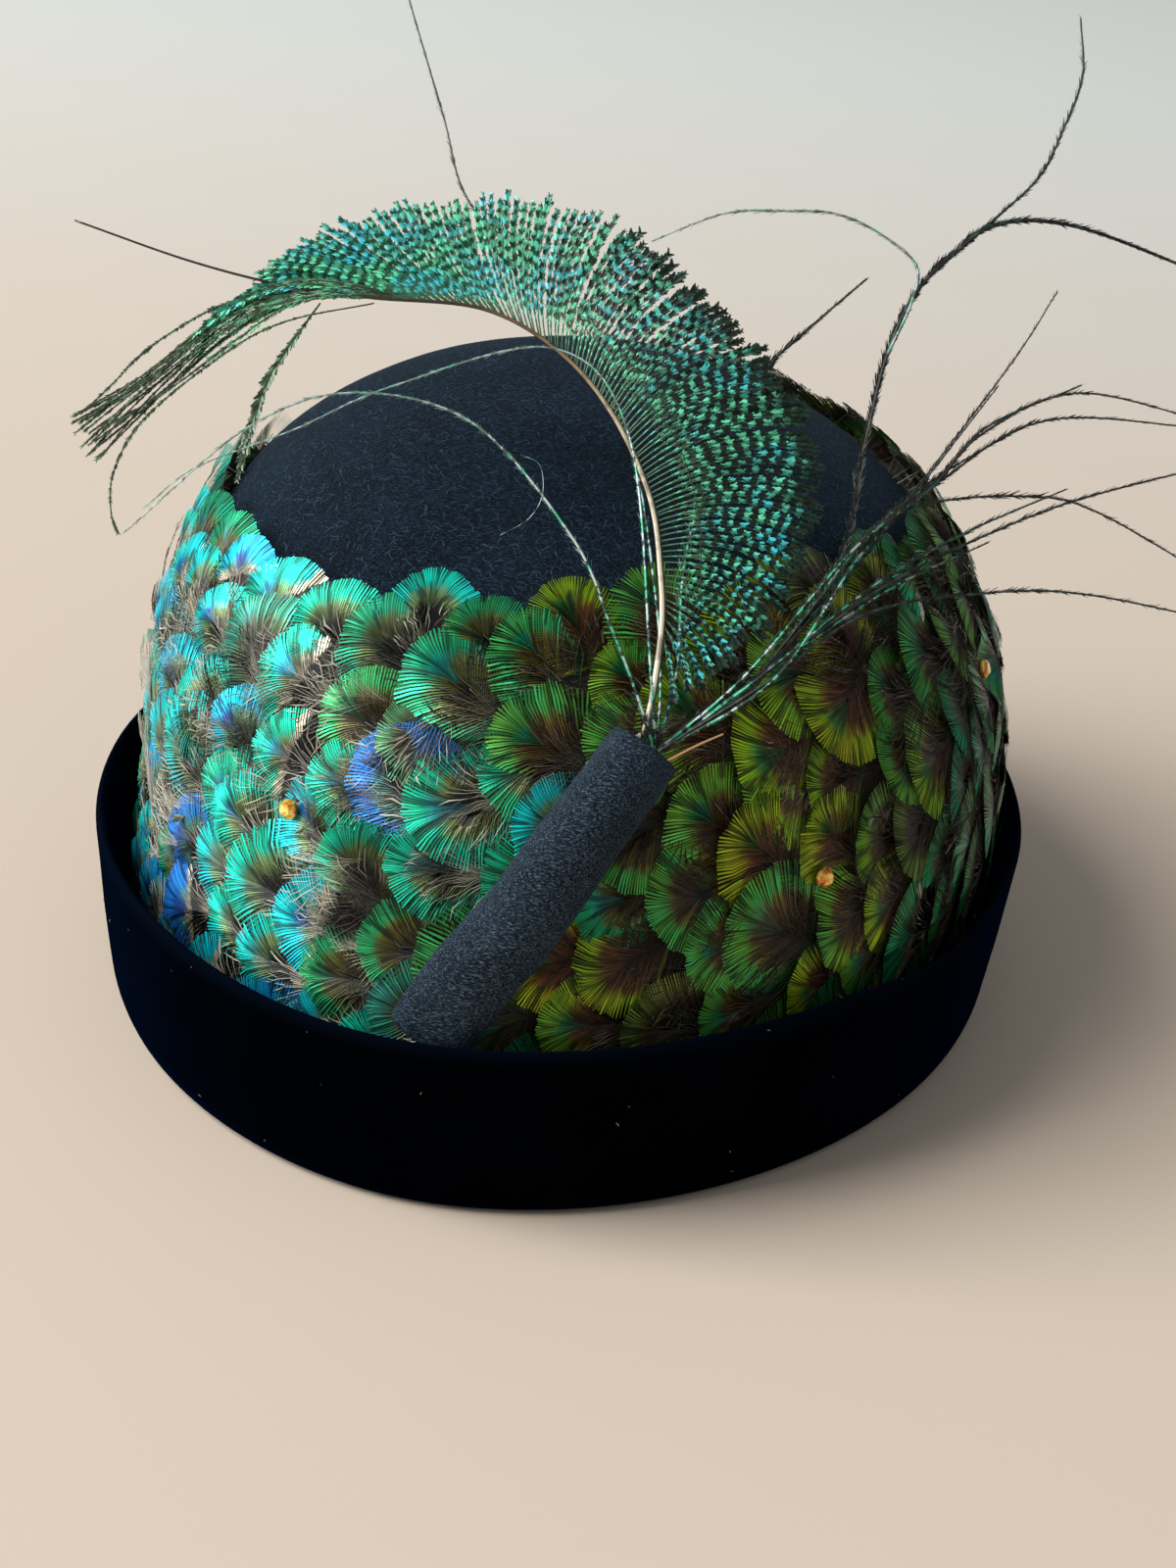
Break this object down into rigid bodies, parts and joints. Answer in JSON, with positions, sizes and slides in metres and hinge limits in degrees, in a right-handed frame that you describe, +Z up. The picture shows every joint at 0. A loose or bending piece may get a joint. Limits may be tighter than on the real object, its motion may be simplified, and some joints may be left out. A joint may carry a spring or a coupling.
{
  "type": "cocktail hat",
  "caption": "Domed felt hat with a turned-up velvet cuff, a band of overlapping iridescent feathers, a felt sleeve holding a curled plume, and small cut stones.",
  "frame": {"origin": "middle of the whole hat's footprint, on the surface that its rim stands on", "axes": "+Z up, -Y towards the wearer's face, +X towards the wearer's left"},
  "size_m": [0.2304, 0.228, 0.205],
  "materials": {
    "crown_felt": "short-nap wool felt, dark navy",
    "cuff_velvet": "deep black velvet, short pile",
    "band_feather": "iridescent green, blue and bronze feathers",
    "sleeve_felt": "charcoal wool felt with a soft nap",
    "plume_feather": "iridescent green and turquoise herls on an ivory quill",
    "herl_feather": "fine dark green and bronze herls",
    "amber_stone": "clear amber cut glass"
  },
  "bodies": {
    "root": {"crown_felt": "crown_felt", "velvet_cuff": "cuff_velvet", "feather_band": "band_feather", "quill_sleeve": "sleeve_felt", "curled_plume": "plume_feather", "herl_spray": "herl_feather", "stone_1": "amber_stone", "stone_2": "amber_stone", "stone_3": "amber_stone", "stone_4": "amber_stone", "stone_5": "amber_stone"}
  },
  "joints": []
}
